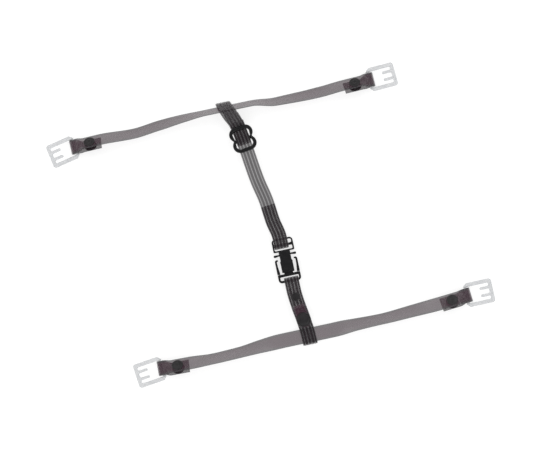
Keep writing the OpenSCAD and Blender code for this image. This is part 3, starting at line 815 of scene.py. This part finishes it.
# turned, plate and rib helpers
def filleted(corners, steps=6):
    # corners are x, y and a radius, and each comes back as an arc
    outline = []
    for i, (x, y, radius) in enumerate(corners):
        here = Vector((x, y))
        before = Vector(corners[i - 1][:2]) - here
        after = Vector(corners[(i + 1) % len(corners)][:2]) - here
        half = before.angle(after) / 2
        if radius <= 0 or half > 1.55:
            outline.append((x, y))
            continue
        reach = min(radius / math.tan(half), before.length * 0.49, after.length * 0.49)
        radius = reach * math.tan(half)
        before.normalize()
        after.normalize()
        centre = here + (before + after).normalized() * radius / math.sin(half)
        first = here + before * reach - centre
        start = math.atan2(first.y, first.x)
        swing = first.angle_signed(here + after * reach - centre)
        for k in range(steps + 1):
            angle = start - swing * k / steps
            outline.append((centre.x + radius * math.cos(angle), centre.y + radius * math.sin(angle)))
    return outline


def box2(x0, x1, y0, y1, radius):
    return filleted([(x0, y0, radius), (x1, y0, radius), (x1, y1, radius), (x0, y1, radius)])


def mirrored(half):
    # half an outline on the +x side, going up, and its other side
    return half + [(-x, y, r) for x, y, r in reversed(half)]


def meshObject(name, mesh):
    piece = bpy.data.objects.new(name, mesh)
    bpy.context.scene.collection.objects.link(piece)
    return piece


def roundedPlate(loops, bottom, top, edge, steps=3):
    # flat plate with rounded edges between two heights, the first loop is the outside
    curve = bpy.data.curves.new("plate", "CURVE")
    curve.dimensions = "2D"
    curve.fill_mode = "BOTH"
    curve.extrude = max(0.0, (top - bottom) / 2 - edge) * mm
    curve.bevel_depth = edge * mm
    curve.bevel_resolution = steps
    curve.offset = -edge * mm
    for loop in loops:
        line = curve.splines.new("POLY")
        line.points.add(len(loop) - 1)
        for point, (x, y) in zip(line.points, loop):
            point.co = (x * mm, y * mm, 0, 1)
        line.use_cyclic_u = True
    holder = bpy.data.objects.new("plate", curve)
    bpy.context.scene.collection.objects.link(holder)
    graph = bpy.context.evaluated_depsgraph_get()
    graph.update()
    mesh = bpy.data.meshes.new_from_object(holder.evaluated_get(graph), depsgraph=graph)
    bpy.data.objects.remove(holder)
    mesh.transform(Matrix.Translation((0, 0, (top + bottom) / 2 * mm)))
    return closed(mesh)


def closed(mesh):
    shape = bmesh.new()
    shape.from_mesh(mesh)
    bmesh.ops.remove_doubles(shape, verts=shape.verts, dist=0.000004)
    bmesh.ops.recalc_face_normals(shape, faces=shape.faces)
    shape.to_mesh(mesh)
    shape.free()
    return mesh


def turned(profile, segments=64):
    # profile of radius and height, from the axis round to the axis
    shape = bmesh.new()
    rings = []
    for radius, height in profile:
        if radius < 1e-6:
            rings.append([shape.verts.new((0, 0, height * mm))])
        else:
            rings.append([shape.verts.new((radius * mm * math.cos(math.tau * k / segments),
                                           radius * mm * math.sin(math.tau * k / segments), height * mm))
                          for k in range(segments)])
    for a, b in zip(rings, rings[1:]):
        for k in range(segments):
            n = (k + 1) % segments
            corners = [a[k % len(a)], a[n % len(a)], b[n % len(b)], b[k % len(b)]]
            shape.faces.new(list(dict.fromkeys(corners)))
    mesh = bpy.data.meshes.new("turned")
    bmesh.ops.recalc_face_normals(shape, faces=shape.faces)
    shape.to_mesh(mesh)
    shape.free()
    return mesh


def rod(start, finish, radius, edge=0.3):
    # round bar with eased ends between two points
    start, finish = Vector(start), Vector(finish)
    length = (finish - start).length
    mesh = turned([(0, 0), (radius - edge, 0), (radius - edge * 0.3, edge * 0.3), (radius, edge),
                   (radius, length - edge), (radius - edge * 0.3, length - edge * 0.3),
                   (radius - edge, length),
                   (0, length)], 40)
    turn = (finish - start).to_track_quat("Z", "Y").to_matrix().to_4x4()
    mesh.transform(Matrix.Translation(start * mm) @ turn)
    return mesh


def metres(place):
    placed = place.copy()
    placed.translation = placed.translation * mm
    return placed


def assemble(name, meshes, place, finish, body, slot, *nodes):
    # several closed meshes become one piece, put in its place
    shape = bmesh.new()
    for mesh in meshes:
        shape.from_mesh(mesh)
        bpy.data.meshes.remove(mesh)
    whole = bpy.data.meshes.new(name)
    shape.to_mesh(whole)
    shape.free()
    whole.transform(metres(place))
    whole.materials.append(finish)
    piece = meshObject(name, whole)
    whole.shade_smooth()
    whole.set_sharp_from_angle(angle=math.radians(45))
    shading = piece.modifiers.new("shading", "WEIGHTED_NORMAL")
    shading.keep_sharp = True
    shading.weight = 80
    settle(piece)
    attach(piece, body)
    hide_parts(*nodes)
    return piece


def carved(mesh, cutter):
    # the cutter's shape is taken out of the mesh
    block, tool = meshObject("block", mesh), meshObject("tool", cutter)
    cut = block.modifiers.new("cut", "BOOLEAN")
    cut.operation = "DIFFERENCE"
    cut.solver = "EXACT"
    cut.object = tool
    settle(block)
    result = block.data
    bpy.data.objects.remove(block)
    bpy.data.objects.remove(tool)
    return result


def ridgeTree():
    tree = bpy.data.node_groups.new("ridgeRow", "GeometryNodeTree")
    add = tree.nodes.new
    join = tree.links.new
    sockets = tree.interface
    sockets.new_socket("Ridge", in_out="INPUT", socket_type="NodeSocketGeometry")
    sockets.new_socket("Count", in_out="INPUT", socket_type="NodeSocketInt").default_value = 5
    sockets.new_socket("Pitch", in_out="INPUT", socket_type="NodeSocketFloat").default_value = 0.0014
    sockets.new_socket("Finish", in_out="INPUT", socket_type="NodeSocketMaterial")
    sockets.new_socket("Row", in_out="OUTPUT", socket_type="NodeSocketGeometry")
    given = add("NodeGroupInput").outputs
    line = add("GeometryNodeMeshLine")
    line.mode = "OFFSET"
    join(given["Count"], line.inputs["Count"])
    step = add("ShaderNodeCombineXYZ")
    join(given["Pitch"], step.inputs["Y"])
    join(step.outputs[0], line.inputs["Offset"])
    copies = add("GeometryNodeInstanceOnPoints")
    join(line.outputs[0], copies.inputs["Points"])
    join(given["Ridge"], copies.inputs["Instance"])
    return closeTree(tree, copies.outputs[0], given["Finish"], "Row")


rowTree = ridgeTree()


def ridgeRow(ridge, count, pitch, finish):
    # the same ridge repeated along y
    row = meshObject("row", ridge)
    applyTree(row, rowTree, {"Count": count, "Pitch": pitch * mm, "Finish": finish})
    settle(row)
    mesh = row.data
    bpy.data.objects.remove(row)
    return mesh


# hook plates
def barPlace(end):
    middle, across, facing = endStation(end, 0)
    return middle - foldRadius * facing + 1.25 * endDirection(end)


def hookPlate(end):
    x, y, heading, plateHeading, twist, inboard = ends[end]
    bar = barPlace(end)
    drop = math.asin((bar[2] - plate["thick"] / 2) / plate["reach"])
    wide, reach = plate["width"] / 2, plate["reach"]
    inner = (strap["width"] + plate["play"]) / 2
    window = reach - plate["farEnd"]
    prongLong, prongWide = plate["prong"]
    gap = plate["slot"] / 2
    tip = window - prongLong
    side = [
        (tip, gap, 0.9), (tip, gap + prongWide, 0.9), (window, gap + prongWide, 1.0), (window, inner, 1.4),
        (-plate["heel"], inner, 0.5), (-plate["heel"], wide - plate["chamfer"], 1.0),
        (-plate["heel"] + plate["chamfer"], wide, 2.0), (reach - 1.7, wide, 1.4), (reach, wide - 1.8, 1.4),
    ]
    outline = filleted([(window, 0, 0)] + [(window, gap, 1.0)] + side
                       + [(px, -py, r) for px, py, r in reversed(side)] + [(window, -gap, 1.0)])
    place = (Matrix.Translation(Vector(bar))
             @ Matrix.Rotation(math.radians(plateHeading + (180 if inboard > 0 else 0)), 4, "Z")
             @ Matrix.Rotation(drop, 4, "Y"))
    half = plate["thick"] / 2
    meshes = [roundedPlate([outline], -half, half, 0.7),
              rod((0, -inner - 0.3, 0), (0, inner + 0.3, 0), plate["bar"] / 2)]
    assemble(end + "HookPlate", meshes, place, plateSkin, end + "_plate", "clear_plate", end + "_hook_plate")


for end in ends:
    hookPlate(end)
print("hook plates ready")

# snap fasteners
snapShape = {
    "studBase": 0.6, "play": 0.3, "wall": 0.7, "rim": 1.4, "ballShare": 0.44, "backShare": 0.6,
}
outerFace = halfThick + snap["seat"]


def capMesh(diameter, high):
    r = diameter / 2
    lift = high / snap["capHeight"]
    z = outerFace
    hidden = -outerFace - snapShape["wall"]
    post = snap["post"] / 2
    return turned([
        (0, hidden), (post - 0.2, hidden), (post, hidden + 0.2), (post, z), (r - 0.35, z),
        (r - 0.08, z + 0.12 * lift), (r, z + 0.34 * lift), (r - 0.12, z + 0.6 * lift),
        (r - 0.5, z + 0.78 * lift), (r - 1.05, z + 0.80 * lift), (r - 1.35, z + 0.70 * lift),
        (r - 1.7, z + 0.78 * lift),
        (r * 0.66, z + high * 0.86), (r * 0.45, z + high * 0.95), (r * 0.2, z + high), (0, z + high)])


def socketMesh(diameter, gap):
    r = diameter / 2
    low = -outerFace - (gap - snapShape["studBase"] - snapShape["play"] - 2 * snap["seat"])
    bore = snap["post"] / 2 + 0.05
    roof = -outerFace - snapShape["wall"]
    inside = r - snapShape["rim"]
    return turned([
        (bore, -outerFace), (r - 0.3, -outerFace), (r, -outerFace - 0.3), (r, low + 0.3), (r - 0.3, low),
        (inside + 0.3, low), (inside, low + 0.3), (inside, roof), (bore, roof), (bore, -outerFace)])


def studMesh(diameter, gap):
    r = diameter / 2
    base = -outerFace - snapShape["studBase"]
    socketHigh = gap - snapShape["studBase"] - snapShape["play"] - 2 * snap["seat"]
    ballHigh = socketHigh + snapShape["play"] - snapShape["wall"] - 0.3
    ball = r * snapShape["ballShare"]
    bore = snap["post"] / 2 + 0.05
    return turned([
        (bore, -outerFace), (r - 0.15, -outerFace), (r, -outerFace - 0.2), (r - 0.15, base),
        (ball - 0.25, base), (ball - 0.25, base - 0.2), (ball, base - ballHigh * 0.6),
        (ball - 0.15, base - ballHigh), (bore, base - ballHigh), (bore, -outerFace)])


def backMesh(diameter):
    r, high = diameter / 2, snap["capHeight"] * snapShape["backShare"]
    z = outerFace
    post = snap["post"] / 2
    hole = post - 0.5
    low = -outerFace - snapShape["studBase"]
    return turned([
        (0, low), (post - 0.15, low), (post, low + 0.15), (post, z), (r - 0.2, z), (r, z + 0.18),
        (r - 0.1, z + 0.38), (r - 0.45, z + 0.5), (r - 0.9, z + 0.44), (r * 0.62, z + 0.44),
        (r * 0.5, z + high * 0.96),
        (r * 0.42, z + high), (hole + 0.3, z + high), (hole, z + high - 0.2), (hole - 0.1, z + high / 2),
        (0, z + high / 2)])


def onStation(station):
    middle, across, facing = (Vector(v) for v in station)
    ahead = across.cross(facing)
    place = Matrix((ahead, across, facing)).transposed().to_4x4()
    place.translation = middle
    return place


def snapFastener(prefix, upperBody, lowerBody, capStation, studStation, capWide, socketWide, backWide,
                 gap, node, capHigh=snap["capHeight"]):
    # cap and socket are on one layer, stud and back ring on the other
    for part, mesh, station, body, finish in (
            ("cap", capMesh(capWide, capHigh), capStation, upperBody, satinBlack),
            ("socket", socketMesh(socketWide, gap), capStation, upperBody, mattBlack),
            ("stud", studMesh(socketWide, gap), studStation, lowerBody, mattBlack),
            ("back", backMesh(backWide), studStation, lowerBody, satinBlack)):
        assemble(prefix + part.capitalize(), [mesh], onStation(station), finish, body, "snap",
                 node + "_snap_" + part)


def flatStation(y, z, up):
    return (np.array((along(lowerSide, y), y, z)), np.array((-up, 0, 0), float), np.array((0, 0, up), float))


for end in ends:
    snapFastener(end + "Snap", end + "_tab", end.split("_")[0] + "_cross", tailSnapStation(end),
                 endStation(end, snap["reach"]), snap["endCap"], snap["socket"], snap["back"], layerGap, end)
snapFastener("tabSnap", "tab", "plug", flatStation(tab["snap"], tabHigh, 1),
             flatStation(tab["snap"], loopFront, -1), snap["tabCap"], snap["socket"], snap["back"],
             layerGap, "lower")
snapFastener("keeperSnap", "plug", "plug", flatStation(keeper["y"], keeper["front"], 1),
             flatStation(keeper["y"], keeper["rear"], -1), snap["keeper"], snap["keeper"], snap["keeper"],
             keeper["front"] - keeper["rear"] - strap["thick"], "keeper", snap["keeperCap"])
print("snap fasteners ready")


# rounded tab
def lowerTab():
    top = (along(lowerSide, tab["hinge"]), tab["hinge"])
    reach = tab["hinge"] - tab["end"]
    half = strap["width"] / 2
    # widths shrink towards the round end, so the sweep closes in a half circle
    c, s = wave(tab["lean"])
    stations, widths = [], []
    for d in spaced(0.0, reach - half, 0.8):
        stations.append(d)
        widths.append(1.0)
    for angle in np.linspace(0, 90, 16)[1:-1]:
        a, b = wave(angle)
        stations.append(reach - half + half * b)
        widths.append(a)
    across, up = np.array((-c, -s, 0)), np.array((0, 0, 1.0))
    points = [(np.array((top[0] + s * d, top[1] - c * d, tabHigh)), across, up) for d in stations]
    piece = sweepStrap("lowerTab", points, smoothSkin, widths=widths)
    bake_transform(piece)
    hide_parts("lower_tab")


lowerTab()


# slider
def sliderRing():
    wide, long = slider["width"] / 2, slider["length"] / 2
    lobe = slider["length"] / 4 + 0.8
    lobeX, lobeY = wide - lobe, long - lobe
    waist = lobeX + math.sqrt(lobe * lobe - lobeY * lobeY)
    first = math.degrees(math.atan2(-lobeY, waist - lobeX))
    arc = [(lobeX + lobe * wave(a)[0], lobeY + lobe * wave(a)[1]) for a in np.linspace(first + 12, 90, 20)]
    quarter = [(x, y, 0) for x, y in arc]
    right = [(x, -y, r) for x, y, r in reversed(quarter)] + [(waist + 0.35, 0, 1.6)] + quarter
    outside = filleted(right + [(-x, -y, r) for x, y, r in right])
    rail = (strap["width"] + 1.6) / 2
    top = long - slider["ring"]
    corner = [(rail - 0.1, 1.6, 0.8), (rail + 0.3, 4.2, 1.2), (rail + 0.5, 7, 1.6), (rail - 1.8, top, 1.6)]
    inside = filleted(mirrored([(x, -y, r) for x, y, r in reversed(corner)] + corner))
    base = frontHigh + halfThick + 0.25 - sliderBar
    meshes = [roundedPlate([outside, inside], base, base + slider["barOverStrap"], 1.08, 5)]
    for turnSide in (1, -1):
        x0, x1 = sorted((turnSide * (rail + 0.05), turnSide * (rail + 1.9)))
        meshes.append(roundedPlate([box2(x0, x1, -3.4, 3.4, 0.7)], -slider["barHeight"] / 2, base + 1.2, 0.5))
    half = slider["barWidth"] / 2
    meshes.append(roundedPlate([box2(-rail - 0.6, rail + 0.6, -half, half, 0.5)], -slider["barHeight"] / 2,
                               slider["barHeight"] / 2, 0.7))
    meshes.append(rod((0, 0, 0), (0, 0, slider["barHeight"] / 2 + strap["barGap"] + strap["thick"]),
                      slider["peg"] / 2, 0.4))
    assemble("sliderRing", meshes, sliderPlace, glossBlack, "slider", "black_plastic", "slider")


sliderRing()
print("slider ready")

# side-release buckle
buckle.update({
    "frameTop": 22.75, "frameEnd": 9, "rail": 1.7, "halfBar": 1.3, "corner": 3.5, "stub": 5.5,
    "stubLong": 2.9, "sleeveMouth": -12.8, "sleeveWall": 1.5, "plugBand": -15.5, "armRoot": -13.9,
    "armTip": 1.6, "armThick": 3.0,
    "armHeight": 4.6, "gap": 0.3,
})
bucklePlace = Matrix.Translation((*buckle["at"], buckleHigh))


def buckleSocket():
    half, high = buckle["frameWidth"] / 2, buckle["barHeight"] / 2
    top, end, mid = buckle["frameTop"], buckle["frameEnd"], buckle["midBar"]
    inner = half - buckle["rail"]
    outside = filleted([(-half, end, 1.2), (half, end, 1.2), (half, top, buckle["corner"]),
                        (-half, top, buckle["corner"])])
    slots = [box2(-inner, inner, mid + buckle["halfBar"], top - 1.8, 1.7),
             box2(-inner, inner, end + 1.6, mid - buckle["halfBar"], 1.0)]
    frameMesh = roundedPlate([outside] + slots, -high, high, 0.62, 4)
    wide, tall = buckle["sleeveWidth"] / 2, buckle["sleeveHeight"] / 2
    neck = wide - 0.6
    sleeveSide = [(wide, buckle["sleeveMouth"], 0.6), (wide, -2.6, 0.6), (wide + 0.35, -1.8, 0.5),
                  (neck, -0.3, 0.8), (neck, 3.6, 0.8), (neck + 0.2, 7.8, 0.8), (neck, end + 1.1, 0.5)]
    body = roundedPlate([filleted(mirrored(sleeveSide))], -tall, tall, 0.75, 4)
    cavity = wide - buckle["sleeveWall"]
    body = carved(body, roundedPlate([box2(-cavity, cavity, -20, 7, 0.3)], -tall + buckle["sleeveWall"],
                                     tall - buckle["sleeveWall"], 0.15))
    stub, long = buckle["stub"], buckle["stubLong"] / 2
    reach = buckle["width"] / 2
    stubSide = [(neck - 0.8, stub - 0.9, 0), (neck + 1.0, stub - 0.8, 0.8), (reach - 1.2, stub - long, 0.9),
                (reach, stub - long + 0.4, 0.9), (reach, stub + long - 0.3, 0.9),
                (neck + 1.0, stub + 0.9, 0.8), (neck - 0.8, stub + 1.0, 0)]
    stubs = [roundedPlate([filleted([(x * turnSide, y, r) for x, y, r in stubSide])], -high, high, 0.6)
             for turnSide in (1, -1)]
    ridge = roundedPlate([box2(-3.6, 3.6, -0.35, 0.35, 0.34)], tall - 0.2, tall + 0.12, 0.15)
    ridge.transform(Matrix.Translation((0, -10.9 * mm, 0)))
    pad = roundedPlate([box2(-4.1, 4.1, -6.2, 6.4, 1.6)], tall - 0.3, tall + 0.1, 0.1)
    meshes = [frameMesh, body, pad, ridgeRow(ridge, 4, 1.15, glossBlack)] + stubs
    assemble("buckleSocket", meshes, bucklePlace, glossBlack, "centre", "black_plastic", "buckle_socket")


def bucklePlug():
    half, high = buckle["width"] / 2, buckle["barHeight"] / 2
    bottom = buckle["plugBar"] - buckle["barWidth"] / 2
    band = buckle["plugBand"]
    outside = filleted([(-half, bottom, buckle["corner"]), (half, bottom, buckle["corner"]),
                        (half, band + 1.4, 0.9), (-half, band + 1.4, 0.9)])
    window = filleted([(-half + 2.2, buckle["plugBar"] + buckle["barWidth"] / 2, 1.3),
                       (half - 2.2, buckle["plugBar"] + buckle["barWidth"] / 2, 1.3),
                       (half - 2.2, band - 1.4, 0.8), (-half + 2.2, band - 1.4, 0.8)])
    body = roundedPlate([outside, window], -high, high, 0.62, 4)
    wide = buckle["sleeveWidth"] / 2 - buckle["sleeveWall"] - buckle["gap"]
    tall = buckle["sleeveHeight"] / 2 - buckle["sleeveWall"] - buckle["gap"]
    tongue = roundedPlate([box2(-wide, wide, band, 5, 1.0), box2(-1.5, 1.5, -9, 2, 1.2)], -tall, tall, 0.35)
    assemble("bucklePlug", [body, tongue], bucklePlace, glossBlack, "plug", "black_plastic", "buckle_plug")


def buckleArm(name, turnSide):
    half, thick = buckle["width"] / 2, buckle["armThick"]
    root, tip = buckle["armRoot"], buckle["armTip"]
    path = [(half, root, 0), (half, root + 4, 6), (half + 0.0, tip - 1.6, 2.0), (half - 1.0, tip, 1.4),
            (half - 3.6, tip - 0.2, 0.7), (half - 3.4, tip - 1.7, 0.7), (half - 2.0, tip - 1.9, 0.8),
            (half - thick * 0.72, root + 8, 8), (half - thick, root + 1.5, 1.5), (half - thick, root, 0)]
    outline = filleted([(x * turnSide, y, r) for x, y, r in path])
    high = buckle["armHeight"] / 2
    assemble(name, [roundedPlate([outline], -high, high, 0.5, 4)], bucklePlace, glossBlack,
             "arm_left" if turnSide < 0 else "arm_right", "black_plastic",
             "buckle_arm_left" if turnSide < 0 else "buckle_arm_right")


buckleSocket()
bucklePlug()
buckleArm("buckleArmLeft", -1)
buckleArm("buckleArmRight", 1)
print("buckle ready")
